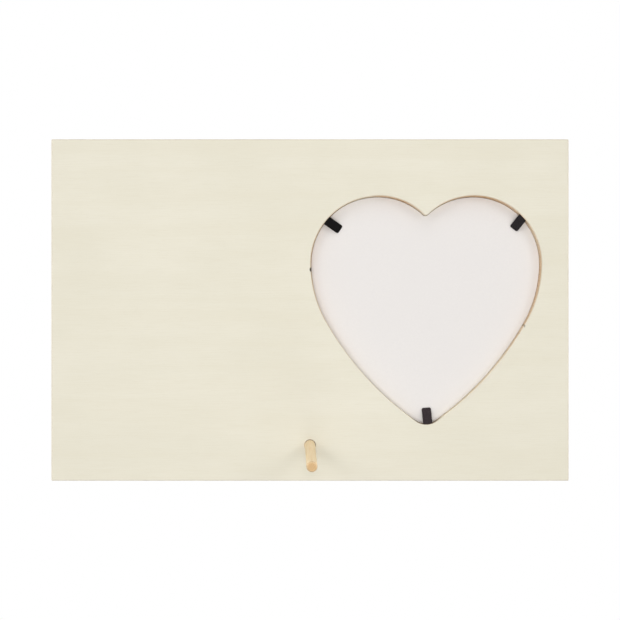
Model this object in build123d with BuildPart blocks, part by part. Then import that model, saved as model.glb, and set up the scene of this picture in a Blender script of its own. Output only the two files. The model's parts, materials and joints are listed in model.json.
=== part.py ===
from build123d import *
import os
from math import acos, atan2, cos, degrees, radians, sin, sqrt, tan

# Picture frame with a heart-shaped opening, which stands on its rear bottom edge and leans back
# on a round peg. Units are millimetres. World frame: +X along the width, the picture faces -Y,
# +Z up, origin on the standing surface in the middle of the footprint.
# Everything is drawn in the panel's own frame, seen from behind: x to the right, y up from the
# bottom edge, z out of the back face, with z = 0 on the back face.

# Panel of two glued plywood sheets
panel_width = 300.0
panel_height = 198.0
back_sheet_thickness = 10.0
front_sheet_thickness = 3.0
arris_ease = 0.3

# Heart-shaped rebate through the back sheet: each half is five tangent arcs, for the cleft, lobe,
# shoulder, flank and tip. It stands a margin in from the panel's right edge and nearly halfway up.
heart_margin = 15.8
heart_drop = 0.1
heart_depth = 93.7
lobe_offset = 27.9
lobe_radius = 38.9
shoulder_radius = 70.5
shoulder_turn = 29.6
tip_radius = 10.5
cleft_radius = 2.0
cut_edge_wear = 0.2

# Lip of the front sheet round the window, which the glazing lies on
lip_width = 5.0

# Insert stack, from the lip outwards to the back. The board fits closely and rests low in the
# rebate, and the glazing and the picture are smaller, so that they pass the upright tabs.
board_clearance = 0.2
picture_clearance = 0.9
insert_drop = 0.1
layer_gap = 0.1
glazing_thickness = 1.5
photo_thickness = 0.3
backing_thickness = 2.0

# Flexible steel retaining tabs, whose shanks are driven into the rebate's wall close to the back
tab_overall_length = 16.0
tab_width = 5.4
tab_thickness = 0.4
tab_corner_radius = 1.1
tab_root_depth = 1.2
tab_touch_gap = 0.1
tab_bend_clearance = 0.05
tab_wall_clearance = 0.1
shank_point_length = 2.0
shank_fit = 0.02

# Each tab's place on its arc of the wall, its turn from square to the wall and its slope down to
# the backing board, in degrees
left_tab_place = 140.3
left_tab_turn = 6.0
left_tab_slope = 25.0
right_tab_place = 43.1
right_tab_turn = 9.4
right_tab_slope = 29.2
bottom_tab_place = -83.9
bottom_tab_turn = -2.0
bottom_tab_slope = 27.0

# Peg and its hole, which is drilled at an angle into the back sheet
peg_diameter = 6.0
peg_stand_out = 50.0
peg_height = 20.5
peg_droop = 7.3
peg_skew = 1.2
peg_end_chamfer = 0.8
peg_hole_clearance = 0.06
peg_hole_floor = 0.5
peg_seat_gap = 0.2
drill_point_angle = 118.0
mouth_chamfer = 0.3

cut_overrun = 1.0

# Lean of the frame: the rear bottom arris and the lowest corner of the peg's end both touch the
# standing surface
peg_radius = peg_diameter / 2
droop = radians(peg_droop)
skew = radians(peg_skew)
touch_length = (peg_stand_out - peg_end_chamfer) * cos(skew)
touch_out = touch_length * cos(droop) - peg_radius * sin(droop)
touch_up = peg_height - touch_length * sin(droop) - peg_radius * cos(droop)
lean = atan2(touch_up, touch_out + arris_ease)

# Footprint from front to back, measured from the rear bottom edge
panel_thickness = back_sheet_thickness + front_sheet_thickness
end_radius = peg_radius - peg_end_chamfer
end_length = peg_stand_out * cos(skew)
peg_end_out = end_length * cos(droop) + end_radius * sin(droop)
peg_end_up = peg_height - end_length * sin(droop) + end_radius * cos(droop)
footprint_front = arris_ease * sin(lean) - panel_thickness * cos(lean)
top_rear = (panel_height - arris_ease) * sin(lean)
footprint_rear = max(peg_end_out * cos(lean) + peg_end_up * sin(lean), top_rear)

back = Plane(
    origin=(0, -(footprint_front + footprint_rear) / 2, -arris_ease * sin(lean)),
    x_dir=(-1, 0, 0),
    z_dir=(0, cos(lean), -sin(lean)),
)


def panel_plane(x, y, z):
    """A plane parallel to the back face, with its origin at a point of the panel's frame."""
    return Plane(back.from_local_coords((x, y, z)), x_dir=back.x_dir, z_dir=back.z_dir)


# The heart's axis and the height of its lobes' centres
heart_side = panel_width / 2 - heart_margin - lobe_radius - lobe_offset
lobe_height = (panel_height + heart_depth - lobe_radius) / 2 - heart_drop

# Centres of the heart's arcs, from the point of its axis that is level with the lobes' centres.
# The flank's radius makes it tangent to both the shoulder and the tip.
cleft_reach = lobe_radius + cleft_radius
cleft_centre = Vector(0, sqrt(cleft_reach**2 - lobe_offset**2))
cleft_turn = degrees(acos(-lobe_offset / cleft_reach))
shoulder_centre = Vector(lobe_offset + lobe_radius - shoulder_radius, 0)
tip_centre = Vector(0, tip_radius - heart_depth)
shoulder_end = Vector(cos(radians(shoulder_turn)), -sin(radians(shoulder_turn)))
tip_to_shoulder = shoulder_centre - tip_centre
radius_step = shoulder_radius - tip_radius
flank_step = (tip_to_shoulder.length**2 - radius_step**2) / (
    2 * (tip_to_shoulder.dot(shoulder_end) + radius_step)
)
flank_radius = shoulder_radius + flank_step
flank_centre = shoulder_centre - shoulder_end * flank_step
flank_end = tip_centre - flank_centre
flank_turn = degrees(atan2(-flank_end.Y, flank_end.X))


def heart_outline(inset):
    """The heart's outline, moved inwards by inset."""
    with BuildSketch() as outline:
        with BuildLine():
            CenterArc(cleft_centre, cleft_radius + inset, -90, cleft_turn - 90)
            CenterArc((lobe_offset, 0), lobe_radius - inset, 0, cleft_turn)
            CenterArc(shoulder_centre, shoulder_radius - inset, -shoulder_turn, shoulder_turn)
            CenterArc(flank_centre, flank_radius - inset, -flank_turn, flank_turn - shoulder_turn)
            CenterArc(tip_centre, tip_radius - inset, -90, 90 - flank_turn)
            mirror(about=Plane.YZ)
        make_face()
    return outline.sketch


rebate_outline = heart_outline(0)
window_outline = heart_outline(lip_width)
board_outline = heart_outline(board_clearance)
picture_outline = heart_outline(picture_clearance)


def heart_plane(z, drop=0):
    """The plane that a heart outline is drawn on, at a height over the back face."""
    return panel_plane(heart_side, lobe_height - drop, z)


# Heights of the insert stack over the back face
glazing_bottom = layer_gap - back_sheet_thickness
photo_bottom = glazing_bottom + glazing_thickness + layer_gap
backing_bottom = photo_bottom + photo_thickness + layer_gap
backing_face = backing_bottom + backing_thickness


class TabPlace:
    """Where a tab stands: it is folded along the wall, above its shank in the wood."""

    def __init__(self, arc_centre, arc_radius, place, turn, slope):
        self.turn = radians(turn)
        half_thickness = tab_thickness / 2
        half_fold = tab_width / 2 / cos(self.turn)
        wall_sag = arc_radius - sqrt(arc_radius**2 - half_fold**2)
        self.hinge_out = wall_sag + tab_bend_clearance + half_thickness
        foot = heart_plane(-tab_root_depth)
        outwards = radians(place)
        wall = Vector(arc_radius * cos(outwards), arc_radius * sin(outwards))
        inwards = -foot.x_dir * cos(outwards) - foot.y_dir * sin(outwards)
        fold = foot.z_dir.cross(inwards)
        self.hinge = foot.from_local_coords(arc_centre + wall) + inwards * self.hinge_out
        self.hinge_axis = -fold
        self.frame = Plane(
            self.hinge, x_dir=inwards * cos(self.turn) + fold * sin(self.turn), z_dir=foot.z_dir
        )
        self.slope = slope
        down = radians(slope)
        sloping = inwards * cos(down) - foot.z_dir * sin(down)
        self.side = Plane(self.hinge, x_dir=sloping, z_dir=fold)
        self.face = Plane(
            self.hinge,
            x_dir=sloping * cos(self.turn) + fold * sin(self.turn),
            z_dir=sloping.cross(fold),
        )
        # The tongue is as long as it can be before its lower corner reaches the board
        fall = -tab_root_depth - backing_face - tab_touch_gap
        run = (fall - half_thickness * cos(down)) / sin(down) - tab_corner_radius
        corner_side = (tab_width / 2 - tab_corner_radius) * sin(abs(self.turn))
        self.length = (run - corner_side) / cos(self.turn) + tab_corner_radius
        self.shank_length = tab_overall_length - self.length


left_lobe = Vector(-lobe_offset, 0)
right_lobe = Vector(lobe_offset, 0)
tab_places = {
    "tab_left": TabPlace(left_lobe, lobe_radius, left_tab_place, left_tab_turn, left_tab_slope),
    "tab_right": TabPlace(
        right_lobe, lobe_radius, right_tab_place, right_tab_turn, right_tab_slope
    ),
    "tab_bottom": TabPlace(
        tip_centre, tip_radius, bottom_tab_place, bottom_tab_turn, bottom_tab_slope
    ),
}


def shank_outline(place, end, fit=0):
    """A tab's pointed shank in plan, up to an end that lies along the wall, this far from the
    hinge, or with a fit the slot that it makes in the wood."""
    side = tab_width / 2 + fit
    skew_end = side * tan(place.turn)
    end_middle = end / cos(place.turn)
    shoulder = shank_point_length - place.shank_length
    with BuildSketch() as outline:
        with BuildLine():
            Polyline(
                (end_middle + skew_end, side),
                (shoulder, side),
                (-place.shank_length - fit, 0),
                (shoulder, -side),
                (end_middle - skew_end, -side),
                close=True,
            )
        make_face()
    return outline.sketch


def make_shank(place):
    """The fixed part of a tab: a flat pointed blade, whose end lies just inside the wall."""
    outline = shank_outline(place, -place.hinge_out - tab_wall_clearance)
    with BuildPart() as shank:
        with BuildSketch(place.frame):
            add(outline)
        extrude(amount=tab_thickness / 2, both=True)
    return shank.part


def make_tongue(place):
    """The part of a tab that bends up: a round-cornered strip that slopes down to the backing."""
    half = tab_thickness / 2
    with BuildPart() as tongue:
        with BuildSketch(place.side):
            with BuildLine():
                Line((0, half), (tab_overall_length, half))
                Line((tab_overall_length, half), (tab_overall_length, -half))
                Line((tab_overall_length, -half), (0, -half))
                CenterArc((0, 0), half, 90, 180)
            make_face()
        extrude(amount=tab_width, both=True)
        with BuildSketch(place.face) as strip:
            with Locations((place.length - tab_overall_length / 2, 0)):
                Rectangle(tab_overall_length, tab_width)
            fillet(strip.vertices().sort_by(Axis.X)[-2:], radius=tab_corner_radius)
        extrude(amount=tab_thickness, both=True, mode=Mode.INTERSECT)
    return tongue.part


# Peg hole: a drilled bore with the drill's cone at its end
peg_line = back.z_dir * cos(droop) - back.y_dir * sin(droop)
peg_axis = peg_line * cos(skew) + back.x_dir * sin(skew)
peg_across = back.y_dir.cross(peg_axis).normalized()
peg_mouth = back.from_local_coords((0, peg_height, 0))
bore_plane = Plane(peg_mouth, x_dir=peg_across, z_dir=peg_across.cross(peg_axis))
bore_radius = peg_radius + peg_hole_clearance
drill_point = bore_radius / tan(radians(drill_point_angle / 2))
peg_hole_depth = (back_sheet_thickness - peg_hole_floor) / (cos(droop) * cos(skew)) - drill_point

# Back sheet: the heart-shaped rebate, the peg hole and the slots of the tabs
back_axis = Axis(back.origin, back.z_dir)
slots = [shank_outline(place, cut_overrun, shank_fit) for place in tab_places.values()]
with BuildPart() as back_sheet:
    with BuildSketch(panel_plane(0, panel_height / 2, -back_sheet_thickness)):
        Rectangle(panel_width, panel_height)
    extrude(amount=back_sheet_thickness)
    glued_edges = back_sheet.faces().sort_by(back_axis)[0].edges()
    chamfer(back_sheet.edges() - glued_edges, length=arris_ease)
    with BuildSketch(heart_plane(-back_sheet_thickness)):
        add(rebate_outline)
    extrude(amount=back_sheet_thickness, mode=Mode.SUBTRACT)
    rebate_edges = back_sheet.faces().sort_by(back_axis)[-1].inner_wires()[0].edges()
    chamfer(rebate_edges, length=cut_edge_wear)
    with BuildSketch(bore_plane):
        with BuildLine():
            Polyline(
                (0, cut_overrun),
                (bore_radius, cut_overrun),
                (bore_radius, -peg_hole_depth),
                (0, -peg_hole_depth - drill_point),
                close=True,
            )
        make_face()
    revolve(axis=Axis(peg_mouth, peg_axis), mode=Mode.SUBTRACT)
    mouth_edge = back_sheet.edges().filter_by(GeomType.ELLIPSE).sort_by_distance(peg_mouth)[0]
    chamfer(mouth_edge, length=mouth_chamfer)
    for place, slot in zip(tab_places.values(), slots):
        with BuildSketch(place.frame):
            add(slot)
        extrude(amount=tab_thickness / 2 + shank_fit, both=True, mode=Mode.SUBTRACT)
back_sheet.part.label = "back_sheet"

# Front sheet: the window is smaller than the rebate by the lip
with BuildPart() as front_sheet:
    with BuildSketch(panel_plane(0, panel_height / 2, -panel_thickness)):
        Rectangle(panel_width, panel_height)
    extrude(amount=front_sheet_thickness)
    glued_edges = front_sheet.faces().sort_by(back_axis)[-1].edges()
    chamfer(front_sheet.edges() - glued_edges, length=arris_ease)
    with BuildSketch(heart_plane(-panel_thickness)):
        add(window_outline)
    extrude(amount=front_sheet_thickness, mode=Mode.SUBTRACT)
    window_edges = front_sheet.faces().sort_by(back_axis)[0].inner_wires()[0].edges()
    chamfer(window_edges, length=cut_edge_wear)
front_sheet.part.label = "front_sheet"

# Glazing, a clear acrylic heart
with BuildPart() as glazing:
    with BuildSketch(heart_plane(glazing_bottom, insert_drop)):
        add(picture_outline)
    extrude(amount=glazing_thickness)
glazing.part.label = "glazing"

# Photo insert, a sheet of paper
with BuildPart() as photo_insert:
    with BuildSketch(heart_plane(photo_bottom, insert_drop)):
        add(picture_outline)
    extrude(amount=photo_thickness)
photo_insert.part.label = "photo_insert"

# Backing board, the white card that the tabs press on
with BuildPart() as backing_board:
    with BuildSketch(heart_plane(backing_bottom, insert_drop)):
        add(board_outline)
    extrude(amount=backing_thickness)
backing_board.part.label = "backing_board"

# Peg, pushed into its hole
seated_length = peg_hole_depth - peg_seat_gap
with BuildPart() as peg:
    with BuildSketch(Plane(peg_mouth - peg_axis * seated_length, x_dir=peg_across, z_dir=peg_axis)):
        Circle(peg_radius)
    extrude(amount=seated_length + peg_stand_out)
    chamfer(peg.edges().filter_by(GeomType.CIRCLE), length=peg_end_chamfer)
peg.part.label = "peg"

os.makedirs("parts", exist_ok=True)
for piece in (back_sheet, front_sheet, glazing, photo_insert, backing_board, peg):
    export_step(piece.part, f"parts/{piece.part.label}.step")
for name, place in tab_places.items():
    shank = make_shank(place)
    shank.label = f"{name}_root"
    export_step(shank, f"parts/{shank.label}.step")
    tongue = make_tongue(place)
    tongue.label = name
    export_step(tongue, f"parts/{tongue.label}.step")
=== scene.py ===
"""Looks of a plywood picture frame with a heart-shaped opening, seen from behind. Metres."""

import json
import math

import bpy
from mathutils import Matrix, Vector


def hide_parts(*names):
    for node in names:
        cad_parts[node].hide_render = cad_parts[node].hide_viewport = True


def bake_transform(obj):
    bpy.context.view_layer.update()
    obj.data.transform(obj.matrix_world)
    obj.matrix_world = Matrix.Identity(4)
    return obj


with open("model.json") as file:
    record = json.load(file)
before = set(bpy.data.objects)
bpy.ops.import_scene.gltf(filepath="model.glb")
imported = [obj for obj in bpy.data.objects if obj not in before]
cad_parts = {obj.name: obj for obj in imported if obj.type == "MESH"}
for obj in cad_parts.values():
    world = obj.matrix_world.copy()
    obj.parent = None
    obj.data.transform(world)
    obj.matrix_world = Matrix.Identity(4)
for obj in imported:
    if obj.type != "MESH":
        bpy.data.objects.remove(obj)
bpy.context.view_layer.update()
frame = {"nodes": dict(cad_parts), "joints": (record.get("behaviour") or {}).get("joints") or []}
nodes = frame["nodes"]
joints = {joint["name"]: joint for joint in frame["joints"]}
MM = 0.001


# The panel's own frame, seen from behind: x to the right, y up from the bottom edge and z out of
# the back face, with its origin on the back face in the middle of the bottom edge


def extent(node, direction):
    """How far a node reaches along a direction, from its lowest to its highest."""
    values = [vertex.co.dot(direction) for vertex in nodes[node].data.vertices]
    return min(values), max(values)


out = Vector(joints["backing_lift"]["axis"])
right = Vector((-1, 0, 0))
up = out.cross(right)
panel_bottom, panel_top = extent("back_sheet", up)
glue_height, back_height = extent("back_sheet", out)
front_height = extent("front_sheet", out)[0]
panel_origin = up * panel_bottom + out * back_height
panel_height = panel_top - panel_bottom
panel_width = extent("back_sheet", right)[1] * 2
sheet_mm = (back_height - glue_height) / MM
panel_mm = (back_height - front_height) / MM

# The heart-shaped opening, in the panel's frame and in millimetres. It is found from the backing
# board, whose top is this much lower. Directions are taken from a point a little over its middle.
board_gap, middle_share = 0.3, 0.55
heart_left, heart_right = extent("backing_board", right)
heart_low, heart_high = ((edge - panel_bottom) / MM for edge in extent("backing_board", up))
heart_x = (heart_left + heart_right) / 2 / MM
heart_y = heart_low + middle_share * (heart_high - heart_low)
# How far each lobe's arc is from the heart's middle line, its radius, and the shoulder's under it
lobe_offset, lobe_radius, shoulder_radius = 27.9, 38.9, 70.5
lobe_y = heart_high - lobe_radius + board_gap
# Where the cutter went slowly and toasted the wood: the direction from the middle of the heart in
# degrees, and how strongly
toast_places = (
    (-180, 0.7), (-170, 0.5), (-140, 0.1), (-120, 0.0), (-75, 0.0), (-60, 0.2), (-45, 0.1),
    (-20, 0.5), (15, 0.75), (28, 0.4), (45, 0.6), (60, 1.0), (80, 0.6), (90, 0.0), (102, 0.85),
    (113, 0.8), (119, 0.15), (130, 0.2), (160, 0.95), (180, 0.7),
)
# Where it stopped and left a burnt spot, how far that reaches and how dark it is
burnt_spots = ((0.4, 122.5, 0.8, 1.0), (124.45, 89.8, 0.6, 0.5))
spot_slimness = 0.5
# How far its scorching reaches on the face, how far under the lobes' middle that starts and is
# full, how far from the heart's middle it ends, and how far the wall darkens from the heart's tip:
# partly scorch, partly painted shade in the tip's narrow corner
halo_reach, halo_strength = 0.9, 0.75
halo_start, halo_full = 36, 30
halo_far, halo_near = 76, 74
tip_scorch_shade_reach, tip_scorch_shade_core, tip_scorch_shade_strength = 13.0, 2.0, 0.85
# How much the peg hole's darkening toward its upper side leans to one side, and between which
# heights it grows
upper_dark_lean, upper_dark_start, upper_dark_end = 0.5, -2.0, 3.5
# How far in from the panel's outline its edges' finish ends, and how far out the peg hole's does
edge_reach, edge_core = 2.0, 1.0
hole_reach, hole_core = 6.0, 5.0


def axes(x, y, z):
    """The rotation whose axes are these directions."""
    return Matrix((x, y, z)).transposed()


panel_turn = axes(right, up, out).to_euler()


# Materials


def linear(red, green, blue):
    """A colour as the screen shows it, from 0 to 255, as the linear colour of a material."""
    values = [value / 255 for value in (red, green, blue)]
    return [v / 12.92 if v <= 0.04045 else ((v + 0.055) / 1.055) ** 2.4 for v in values] + [1]


def add_node(tree, kind, inputs=None, **settings):
    """A new shader node, whose inputs are linked to a socket or set to a value."""
    made = tree.nodes.new(kind)
    for name, value in settings.items():
        setattr(made, name, value)
    for socket, value in (inputs or {}).items():
        if isinstance(value, bpy.types.NodeSocket):
            tree.links.new(value, made.inputs[socket])
        else:
            made.inputs[socket].default_value = value
    return made


class Finish:
    """A material, with short calls for the nodes that the finishes are made of. Lengths in
    its coordinates are millimetres."""

    def __init__(self, name, origin=panel_origin, turn=panel_turn, **shader):
        self.material = bpy.data.materials.new(name)
        self.material.use_nodes = True
        self.tree = self.material.node_tree
        self.shader = self.tree.nodes["Principled BSDF"]
        for socket, value in shader.items():
            self.shader.inputs[socket.replace("_", " ")].default_value = value
        source = self.node("ShaderNodeTexCoord")
        place = self.node(
            "ShaderNodeMapping",
            {"Vector": source.outputs["Object"], "Location": origin, "Rotation": turn,
             "Scale": (MM, MM, MM)},
            vector_type="TEXTURE",
        )
        facing = self.node(
            "ShaderNodeMapping", {"Vector": source.outputs["Normal"], "Rotation": turn},
            vector_type="TEXTURE",
        )
        self.place = place.outputs[0]
        self.x, self.y, self.z = self.split(self.place)
        self.facing = self.split(facing.outputs[0])

    def node(self, kind, inputs=None, **settings):
        return add_node(self.tree, kind, inputs, **settings)

    def split(self, vector):
        return self.node("ShaderNodeSeparateXYZ", {0: vector}).outputs[:]

    def math(self, operation, a, b=0.0, c=0.0):
        return self.node("ShaderNodeMath", {0: a, 1: b, 2: c}, operation=operation).outputs[0]

    def stretch(self, along_x, along_y, along_z, offset=0.0):
        """The place, with features of about these lengths along each axis."""
        scale = (1 / along_x, 1 / along_y, 1 / along_z)
        moved = self.node(
            "ShaderNodeMapping",
            {"Vector": self.place, "Scale": scale, "Location": (offset, offset, offset)},
        )
        return moved.outputs[0]

    def noise(self, place, detail=2.0, roughness=0.5, distortion=0.0):
        made = self.node(
            "ShaderNodeTexNoise",
            {"Vector": place, "Scale": 1.0, "Detail": detail, "Roughness": roughness,
             "Distortion": distortion},
        )
        return made.outputs[0]

    def step(self, value, start, end, low=0.0, high=1.0):
        """From low to high, smoothly, as the value goes from start to end."""
        made = self.node(
            "ShaderNodeMapRange",
            {"Value": value, "From Min": start, "From Max": end, "To Min": low, "To Max": high},
            interpolation_type="SMOOTHSTEP",
        )
        return made.outputs[0]

    def mix(self, share, a, b):
        """A colour from a to b."""
        return self.node("ShaderNodeMix", {0: share, 6: a, 7: b}, data_type="RGBA").outputs[2]

    def distance(self, x, y, centre_x=0.0, centre_y=0.0):
        """The distance in a plane from a centre."""
        square_x = self.math("POWER", self.math("SUBTRACT", x, centre_x), 2.0)
        square_y = self.math("POWER", self.math("SUBTRACT", y, centre_y), 2.0)
        return self.math("SQRT", self.math("ADD", square_x, square_y))

    def finish(self, colour, roughness, height=None, depth=0.0, strength=1.0):
        """Connects the colour, the roughness and the relief, whose depth is in millimetres."""
        links, shader = self.tree.links, self.shader
        for socket, value in (("Base Color", colour), ("Roughness", roughness)):
            if isinstance(value, bpy.types.NodeSocket):
                links.new(value, shader.inputs[socket])
            else:
                shader.inputs[socket].default_value = value
        if height is not None:
            bump = self.node(
                "ShaderNodeBump", {"Height": height, "Distance": depth * MM, "Strength": strength}
            )
            links.new(bump.outputs[0], shader.inputs["Normal"])
        return self.material

    def put_on(self, *pieces):
        for piece in pieces:
            piece.data.materials.clear()
            piece.data.materials.append(self.material)


def toasting(wood):
    """How strongly the cutter toasted the wood in this direction from the heart's middle."""
    angle = wood.math("ARCTAN2", wood.math("SUBTRACT", wood.y, heart_y),
                      wood.math("SUBTRACT", wood.x, heart_x))
    turn = wood.math("MULTIPLY_ADD", angle, 0.5 / math.pi, 0.5)
    ramp = wood.node("ShaderNodeValToRGB", {"Fac": turn})
    stops = ramp.color_ramp.elements
    for direction, _ in toast_places[1:-1]:
        stops.new((direction + 180) / 360)
    for stop, (direction, strength) in zip(stops, toast_places):
        stop.position, stop.color = (direction + 180) / 360, (strength, strength, strength, 1)
    return ramp.outputs[0]


def past_rim(wood):
    """How far a place on the face is from the rim of the heart's lobes and shoulders."""
    side = wood.math("ABSOLUTE", wood.math("SUBTRACT", wood.x, heart_x))
    lobe = wood.math("SUBTRACT", wood.distance(side, wood.y, lobe_offset, lobe_y), lobe_radius)
    shoulder_x = lobe_offset + lobe_radius - shoulder_radius
    shoulder = wood.distance(side, wood.y, shoulder_x, lobe_y)
    shoulder = wood.math("SUBTRACT", shoulder, shoulder_radius)
    above = wood.math("GREATER_THAN", wood.y, lobe_y)
    return wood.node("ShaderNodeMix", {0: above, 2: shoulder, 3: lobe}).outputs[0]


def basswood(name, top, bottom, plies, seed, scorched):
    """Basswood plywood: pale faces with their grain along x, layered edges, and the toasted wall
    of the opening. Top and bottom are the sheet's heights over the back face. A scorched sheet
    shows the cutter's marks on its face too."""
    wood = Finish(name)
    # Face veneer: soft clouds, growth bands, fine fibres and short flecks
    clouds = wood.noise(wood.stretch(60, 34, 60, seed), detail=3)
    bands = wood.noise(wood.stretch(260, 9, 40, seed + 5), detail=3, distortion=0.4)
    fibres = wood.noise(wood.stretch(16, 0.55, 3, seed + 9), detail=4, roughness=0.65)
    flecks = wood.noise(wood.stretch(3.2, 0.28, 2, seed + 2), detail=1)
    fleck = wood.step(flecks, 0.66, 0.78)
    face = wood.mix(wood.step(clouds, 0.3, 0.7), linear(231, 226, 208), linear(235, 230, 213))
    face = wood.mix(wood.step(bands, 0.35, 0.72, 0, 0.4), face, linear(229, 223, 203))
    face = wood.mix(wood.step(fibres, 0.4, 0.75, 0, 0.3), face, linear(224, 217, 195))
    face = wood.mix(wood.math("MULTIPLY", fleck, 0.16), face, linear(196, 178, 143))

    # Edges: plies whose grain runs by turns along and across, with thin lines of glue. How far
    # the plies wander up and down in millimetres, and how wide the glue is as a share of a ply
    wander, glue_edge, glue_core = 0.22, 0.055, 0.025
    ply = (top - bottom) / plies
    waves = wood.noise(wood.stretch(26, 26, 9, seed), detail=2)
    height = wood.math("SUBTRACT", wood.z, bottom + wander / 2)
    level = wood.math("DIVIDE", wood.math("MULTIPLY_ADD", waves, wander, height), ply)
    part = wood.math("FRACT", level)
    crossed = wood.math("GREATER_THAN", wood.math("FRACT", wood.math("DIVIDE", level, 2)), 0.5)
    from_middle = wood.math("ABSOLUTE", wood.math("SUBTRACT", part, 0.5))
    glue = wood.step(from_middle, 0.5 - glue_edge, 0.5 - glue_core)
    edge_long = wood.noise(wood.stretch(9, 9, 0.16, seed + 3), detail=4, roughness=0.7)
    pores = wood.noise(wood.stretch(0.22, 0.22, 0.3, seed + 7), detail=3, roughness=0.7)
    long_ply = wood.mix(wood.step(edge_long, 0.3, 0.7), linear(231, 222, 198),
                        linear(211, 196, 164))
    end_ply = wood.mix(wood.step(pores, 0.38, 0.68), linear(216, 200, 167),
                       linear(178, 153, 112))
    # At the panel's ends the face plies show their end grain, and along its sides their length
    at_end = wood.step(wood.math("ABSOLUTE", wood.facing[0]), 0.6, 0.8)
    swapped = wood.math("ABSOLUTE", wood.math("SUBTRACT", crossed, at_end))
    edge = wood.mix(swapped, long_ply, end_ply)
    edge = wood.mix(wood.math("MULTIPLY", glue, 0.7), edge, linear(150, 120, 80))

    # The opening's wall, toasted by its cutting
    slow = toasting(wood)
    streaks = wood.noise(wood.stretch(0.7, 0.7, 14, seed + 4), detail=3, roughness=0.6)
    toast = wood.mix(wood.step(streaks, 0.3, 0.7), linear(226, 188, 146), linear(202, 160, 115))
    toast = wood.mix(wood.math("MULTIPLY", glue, 0.5), toast, linear(120, 86, 56))
    pale_wall = wood.mix(swapped, linear(237, 228, 206), linear(231, 216, 186))
    wall = wood.mix(slow, pale_wall, toast)
    if scorched:
        halo = wood.step(past_rim(wood), halo_reach, 0.0, 0.0, halo_strength)
        on_lobes = wood.step(wood.y, lobe_y - halo_start, lobe_y - halo_full)
        halo = wood.math("MULTIPLY", wood.math("MULTIPLY", halo, slow), on_lobes)
        from_heart = wood.distance(wood.x, wood.y, heart_x, heart_y)
        near_heart = wood.step(from_heart, halo_far, halo_near)
        face = wood.mix(wood.math("MULTIPLY", halo, near_heart), face, linear(168, 136, 96))
        # Darker wall toward the heart's pointed tip: partly scorch, partly painted shade in the
        # narrow corner
        from_tip = wood.distance(wood.x, wood.y, heart_x, heart_low)
        tip_scorch_and_shade = wood.step(from_tip, tip_scorch_shade_reach, tip_scorch_shade_core, 0.0, tip_scorch_shade_strength)
        wall = wood.mix(tip_scorch_and_shade, wall, linear(112, 84, 58))
        for spot_x, spot_y, reach, strength in burnt_spots:
            slim = wood.math("MULTIPLY", wood.y, spot_slimness)
            from_spot = wood.distance(wood.x, slim, spot_x, spot_y * spot_slimness)
            spot = wood.step(from_spot, reach, reach / 2, 0.0, strength)
            face = wood.mix(spot, face, linear(60, 44, 32))
            wall = wood.mix(spot, wall, linear(70, 50, 36))

    half_width, half_height = panel_width / 2 / MM, panel_height / 2 / MM
    from_middle_x = wood.math("ABSOLUTE", wood.x)
    from_middle_y = wood.math("ABSOLUTE", wood.math("SUBTRACT", wood.y, half_height))
    outer_x = wood.step(from_middle_x, half_width - edge_reach, half_width - edge_core)
    outer_y = wood.step(from_middle_y, half_height - edge_reach, half_height - edge_core)
    outside = wood.math("MAXIMUM", outer_x, outer_y)
    sides = wood.mix(outside, wall, edge)

    # The drilled hole for the peg, darker toward its upper side
    from_peg = wood.distance(wood.x, wood.y, 0.0, peg_mouth_y)
    peg_side = wood.math("SUBTRACT", wood.y, peg_mouth_y)
    upper_dark_height = wood.math("MULTIPLY_ADD", wood.x, upper_dark_lean, peg_side)
    upper_dark = wood.step(upper_dark_height, upper_dark_start, upper_dark_end)
    bore = wood.mix(upper_dark, linear(236, 219, 186), linear(116, 84, 58))
    sides = wood.mix(wood.step(from_peg, hole_reach, hole_core), sides, bore)

    flat = wood.step(wood.math("ABSOLUTE", wood.facing[2]), 0.75, 0.95)
    colour = wood.mix(flat, sides, face)
    relief = wood.mix(flat, wood.mix(outside, streaks, edge_long), fibres)
    roughness = wood.step(fibres, 0.3, 0.7, 0.74, 0.84)
    wood.finish(colour, roughness, relief, 0.05, 0.5)
    return wood


peg_axis = Vector(joints["peg_pull"]["axis"])
peg_across = up.cross(peg_axis).normalized()
peg_turn = axes(peg_across, peg_axis.cross(peg_across), peg_axis).to_euler()
peg_line = sum((v.co for v in nodes["peg"].data.vertices), Vector()) / len(
    nodes["peg"].data.vertices
)
# Where the peg's axis meets the back face
peg_mouth = peg_line + peg_axis * ((panel_origin - peg_line).dot(out) / peg_axis.dot(out))
peg_mouth_y = (peg_mouth - panel_origin).dot(up) / MM

basswood("basswood_back", 0.0, -sheet_mm, 7, 3.0, True).put_on(nodes["back_sheet"])
basswood("basswood_front", -sheet_mm, -panel_mm, 3, 21.0, False).put_on(nodes["front_sheet"])

# Birch dowel: straight grain along the peg, and rings on its sawn ends
birch = Finish("birch_dowel", origin=peg_mouth, turn=peg_turn)
grain = birch.noise(birch.stretch(0.5, 0.5, 18), detail=4, roughness=0.6)
lines = birch.noise(birch.stretch(0.16, 0.16, 7, 4.0), detail=2)
body = birch.mix(birch.step(grain, 0.3, 0.7), linear(253, 233, 195), linear(247, 220, 176))
body = birch.mix(birch.step(lines, 0.6, 0.75, 0, 0.4), body, linear(222, 180, 130))
from_pith = birch.distance(birch.x, birch.y, -7.0, 5.0)
ring = birch.math("SINE", birch.math("MULTIPLY", from_pith, 6.0))
pores = birch.noise(birch.stretch(0.2, 0.2, 0.2), detail=3, roughness=0.7)
end = birch.mix(birch.step(ring, -1, 1), linear(222, 187, 138), linear(210, 171, 120))
end = birch.mix(birch.step(pores, 0.5, 0.7, 0, 0.5), end, linear(186, 138, 92))
at_end = birch.step(birch.math("ABSOLUTE", birch.facing[2]), 0.5, 0.85)
birch.finish(birch.mix(at_end, body, end), birch.step(grain, 0.3, 0.7, 0.6, 0.75), grain, 0.04,
             0.5)
birch.put_on(nodes["peg"])

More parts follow.
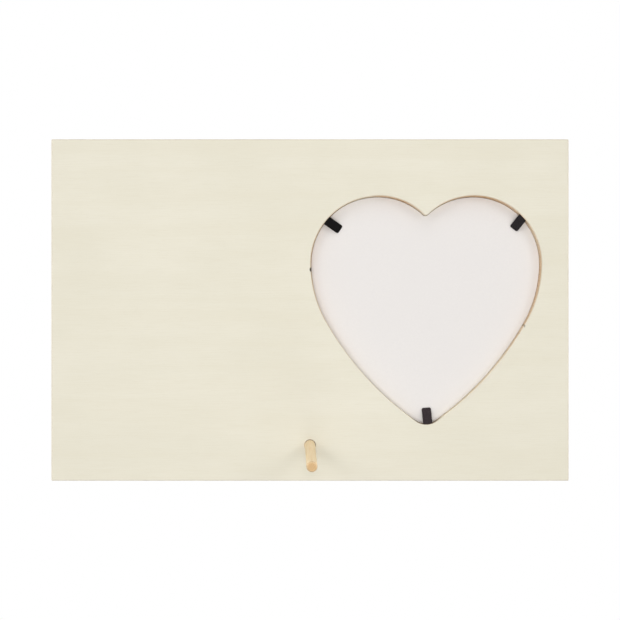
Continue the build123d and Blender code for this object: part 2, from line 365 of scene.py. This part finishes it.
# White card: matt, with a faint mottle of its fibres
card = Finish("white_card")
mottle = card.noise(card.stretch(1.4, 1.4, 1.4), detail=5, roughness=0.7)
broad = card.noise(card.stretch(45, 45, 45), detail=2)
tone = card.mix(card.step(mottle, 0.3, 0.7), linear(234, 230, 227), linear(236, 232, 229))
tone = card.mix(card.step(broad, 0.3, 0.7, 0, 0.5), tone, linear(234, 230, 227))
card.finish(tone, 0.85, mottle, 0.01, 0.4)
card.put_on(nodes["backing_board"])

# Satin paper, blank
paper = Finish("photo_paper", Coat_Weight=0.12, Coat_Roughness=0.35)
tooth = paper.noise(paper.stretch(0.5, 0.5, 0.5), detail=3)
broad = paper.noise(paper.stretch(60, 60, 60), detail=2)
tone = paper.mix(paper.step(tooth, 0.3, 0.7), linear(240, 238, 234), linear(243, 241, 238))
tone = paper.mix(paper.step(broad, 0.3, 0.7, 0, 0.5), tone, linear(239, 237, 231))
paper.finish(tone, 0.5, tooth, 0.004, 0.4)
paper.put_on(nodes["photo_insert"])

# Clear acrylic
acrylic = Finish("clear_acrylic", Transmission_Weight=1.0, IOR=1.49)
ripple = acrylic.noise(acrylic.stretch(30, 30, 30), detail=1)
sides = acrylic.step(acrylic.math("ABSOLUTE", acrylic.facing[2]), 0.9, 0.5)
acrylic.finish(acrylic.mix(sides, linear(252, 254, 254), linear(226, 240, 240)),
               acrylic.step(sides, 0, 1, 0.015, 0.35), ripple, 0.02, 0.2)
acrylic.put_on(nodes["glazing"])


def coated_steel(name, dark, light):
    """Black coated steel, a little rubbed, and worn along its edges. Its given tones hold a painted
    reflection that differs from tab to tab.
    """
    steel = Finish(name, Specular_IOR_Level=0.1)
    worn = steel.node("ShaderNodeAttribute", attribute_name="wear").outputs["Fac"]
    rub = steel.noise(steel.stretch(0.7, 0.7, 0.7), detail=4, roughness=0.75)
    scuff = steel.math("MULTIPLY", worn, steel.step(rub, 0.45, 0.65))
    # The dark and light tones given for each tab differ by painted reflection
    tone = steel.mix(steel.step(rub, 0.35, 0.65), linear(*dark), linear(*light))
    tone = steel.mix(steel.math("MULTIPLY", scuff, 0.45), tone, linear(96, 90, 86))
    steel.finish(tone, steel.step(rub, 0.3, 0.7, 0.45, 0.6), rub, 0.01, 0.5)
    return steel


# Retaining tabs: each is one strip, from its point in the wood to its round-cornered end, folded
# along the wall. Half its thickness, the radii of its edges and corners, its point's length and
# width, how far the fold reaches each way, and how far the part that turns with the joint does
thick, edge, corner, point, sharp, bend, swing = (
    value * MM for value in (0.2, 0.08, 1.1, 2.0, 0.1, 0.5, 0.45)
)


def section(width, rise):
    """A strip's section as places across and over it, once round: its round edges, and points
    between them for the strip to bend by."""
    size = min(edge, width * 0.9, rise * 0.9)
    rim = [math.radians(angle) for angle in (0, 30, 60, 90)]
    first = [(width - size + size * math.cos(a), rise - size + size * math.sin(a)) for a in rim]
    flat = [((width - size) * (1 - k / 3), rise) for k in range(1, 6)]
    last = [(-across, over) for across, over in reversed(first)]
    top = first + flat + last
    return top + [(-across, -over) for across, over in top]


def strip_stations(root, length):
    """Places along a strip: its point, its shank, closely over the fold, its tongue and its end."""
    fold_zone = 2 * bend
    stations = [root + point * k / 4 for k in range(5)]
    stations += [root + point + (-fold_zone - root - point) * k / 3 for k in range(1, 4)]
    stations += [-fold_zone + 2 * fold_zone * k / 24 for k in range(1, 25)]
    stations += [fold_zone + (length - corner - fold_zone) * k / 6 for k in range(1, 7)]
    stations += [length - corner + corner * math.sin(math.pi / 2 * k / 8) for k in range(1, 9)]
    return stations


def strip_mesh(name, points, count, wear):
    """A closed mesh round sections of this many points each."""
    last = len(points) - count
    faces = [tuple(range(count))[::-1], tuple(range(last, len(points)))]
    for start in range(0, last, count):
        for k in range(count):
            a, b = start + k, start + (k + 1) % count
            faces.append((a, b, b + count, a + count))
    mesh = bpy.data.meshes.new(name)
    mesh.from_pydata(points, [], faces)
    mesh.attributes.new("wear", "FLOAT", "POINT").data.foreach_set("value", wear)
    mesh.shade_smooth()
    mesh.set_sharp_from_angle(angle=math.radians(50))
    return mesh


def tab_strip(name, steel):
    """One tab as a strip that is folded on its joint's line, to the end of the joint's range."""
    joint = joints[f"{name}_bend"]
    hinge, fold = Vector(joint["pos_m"]), -Vector(joint["axis"])
    inward = fold.cross(out)
    slope = math.radians(joint["range_deg"][1] - 90)
    sloping = inward * math.cos(slope) - out * math.sin(slope)
    bend_radius = bend / math.tan(slope / 2)
    shank = max((hinge - v.co for v in nodes[f"{name}_root"].data.vertices),
                key=lambda place: place.length)
    shank -= out * shank.dot(out)
    turn = math.atan2(shank.dot(fold), shank.dot(inward))
    along = sloping * math.cos(turn) + fold * math.sin(turn)
    aside = fold * math.cos(turn) - sloping * math.sin(turn)
    tongue = [v.co - hinge for v in nodes[name].data.vertices]
    length = max(place.dot(along) for place in tongue)
    half = max(place.dot(aside) for place in tongue)

    def bent(s, across, over):
        """A place of the flat strip, once it is folded."""
        past = s * math.cos(turn) - across * math.sin(turn)
        beside = s * math.sin(turn) + across * math.cos(turn)
        angle = slope * min(max((past + bend) / (2 * bend), 0), 1)
        way = inward * math.cos(angle) - out * math.sin(angle)
        centre = way * past
        if abs(past) < bend:
            centre = (inward * (bend_radius * math.sin(angle) - bend)
                      - out * bend_radius * (1 - math.cos(angle)))
        return hinge + centre + fold * beside + way.cross(fold) * over

    root = -shank.length
    points, wear = [], []
    for s in strip_stations(root, length):
        width, rise = half, thick
        if s < root + point:
            width = max(half * (s - root) / point, sharp)
        if s > length - corner:
            width = half - corner + math.sqrt(max(corner**2 - (s - length + corner) ** 2, 0))
        if length - s < edge:
            rise = thick - edge + math.sqrt(max(edge**2 - (edge - (length - s)) ** 2, 0))
        for across, over in section(width, rise):
            points.append(bent(s, across, over))
            wear.append(1.0 if abs(across) > width - edge or length - s < edge else 0.0)
    mesh = strip_mesh(f"{name}_strip", points, len(section(half, thick)), wear)
    strip = bpy.data.objects.new(f"{name}_strip", mesh)
    bpy.context.scene.collection.objects.link(strip)
    steel.put_on(strip)
    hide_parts(name, f"{name}_root")
    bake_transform(strip)


# Each tab gets its own tone of the same black coating, a painted reflection of how its slope
# catches the light
for name, dark, light in (
    ("tab_left", (8, 5, 6), (14, 11, 12)),
    ("tab_right", (30, 27, 29), (44, 40, 42)),
    ("tab_bottom", (40, 33, 36), (60, 51, 53)),
):
    tab_strip(name, coated_steel(f"{name}_steel", dark, light))


# Camera: square to the middle of the back face
camera_distance, view_width = 0.720, 0.3597
camera_data = bpy.data.cameras.new("camera")
camera_data.lens = camera_data.sensor_width * camera_distance / view_width
camera = bpy.data.objects.new("camera", camera_data)
bpy.context.scene.collection.objects.link(camera)
middle = panel_origin + up * panel_height / 2
camera.matrix_world = Matrix.Translation(middle + out * camera_distance) @ axes(
    right, up, out
).to_4x4()
bpy.context.scene.camera = camera


# Light: round soft boxes, one square to the back, one over it, one under it and two above its
# sides, others beside and before the frame for the views from there, and an even surround


def soft_box(name, direction, distance, diameter, watts):
    """A round lamp in a direction from the middle of the back, where it points."""
    data = bpy.data.lights.new(name, "AREA")
    data.shape, data.size, data.energy = "DISK", diameter, watts
    lamp = bpy.data.objects.new(name, data)
    bpy.context.scene.collection.objects.link(lamp)
    direction = direction.normalized()
    lamp.location = middle + direction * distance
    lamp.rotation_euler = direction.to_track_quat("Z", "Y").to_euler()
    lamp.visible_camera = False


soft_box("key_box", out - up * 0.14 - right * 0.04, 1.01, 0.6, 4.4)
soft_box("top_box", out * 0.65 + up, 1.4, 0.8, 3.4)
soft_box("low_box", out * 0.8 - up, 1.4, 0.8, 1.9)
for side, name in ((-1, "left"), (1, "right")):
    soft_box(f"{name}_back_box", right * side * 0.9 + up * 0.42 + out, 1.5, 0.6, 3.1)
    soft_box(f"{name}_side_box", right * side - out * 0.25, 1.4, 0.6, 9.0)
soft_box("front_box", up * 0.9 - out * 1.3 - right * 0.5, 1.66, 0.9, 18.0)

# The surround's level as a light. It is white where it is seen, mirrored or shines through.
surround_level = 0.28
world = bpy.data.worlds.new("surround")
bpy.context.scene.world = world
world.use_nodes = True
sky = world.node_tree
path = add_node(sky, "ShaderNodeLightPath").outputs
seen = path["Is Camera Ray"]
for ray in ("Is Glossy Ray", "Is Transmission Ray"):
    seen = add_node(sky, "ShaderNodeMath", {0: seen, 1: path[ray]}, operation="ADD",
                    use_clamp=True).outputs[0]
level = add_node(sky, "ShaderNodeMapRange",
                 {"Value": seen, "To Min": surround_level, "To Max": 1.0}).outputs[0]
background = sky.nodes["Background"]
background.inputs["Color"].default_value = (1, 1, 1, 1)
sky.links.new(level, background.inputs["Strength"])

# Floor: pale, fading out into the white surround, and clear from below, because the camera looks
# up at the leaning back from under it. Light comes from there too, so the floor keeps the object's
# shadow but casts none.
floor_reach, fade_start, fade_end = 3.0, 0.25, 0.85
floor_colour, floor_roughness = (0.86, 0.86, 0.86, 1), 0.9
corners = [(x * floor_reach, y * floor_reach, 0) for x, y in ((-1, -1), (1, -1), (1, 1), (-1, 1))]
floor_mesh = bpy.data.meshes.new("floor")
floor_mesh.from_pydata(corners, [], [(0, 1, 2, 3)])
floor = bpy.data.objects.new("floor", floor_mesh)
bpy.context.scene.collection.objects.link(floor)
floor.visible_shadow = floor.visible_diffuse = False
pale = bpy.data.materials.new("pale_floor")
pale.use_nodes = True
tree = pale.node_tree
shader = tree.nodes["Principled BSDF"]
shader.inputs["Base Color"].default_value = floor_colour
shader.inputs["Roughness"].default_value = floor_roughness
where = add_node(tree, "ShaderNodeTexCoord").outputs["Object"]
away = add_node(tree, "ShaderNodeVectorMath", {0: where}, operation="LENGTH").outputs["Value"]
faded = add_node(tree, "ShaderNodeMapRange",
                 {"Value": away, "From Min": fade_start, "From Max": fade_end},
                 interpolation_type="SMOOTHSTEP").outputs[0]
below = add_node(tree, "ShaderNodeNewGeometry").outputs["Backfacing"]
gone = add_node(tree, "ShaderNodeMath", {0: faded, 1: below}, operation="ADD",
                use_clamp=True).outputs[0]
clear = add_node(tree, "ShaderNodeBsdfTransparent").outputs[0]
surface = add_node(tree, "ShaderNodeMixShader", {0: gone, 1: shader.outputs[0], 2: clear})
tree.links.new(surface.outputs[0], tree.nodes["Material Output"].inputs["Surface"])
floor_mesh.materials.append(pale)

bpy.context.scene.view_settings.view_transform = "Standard"
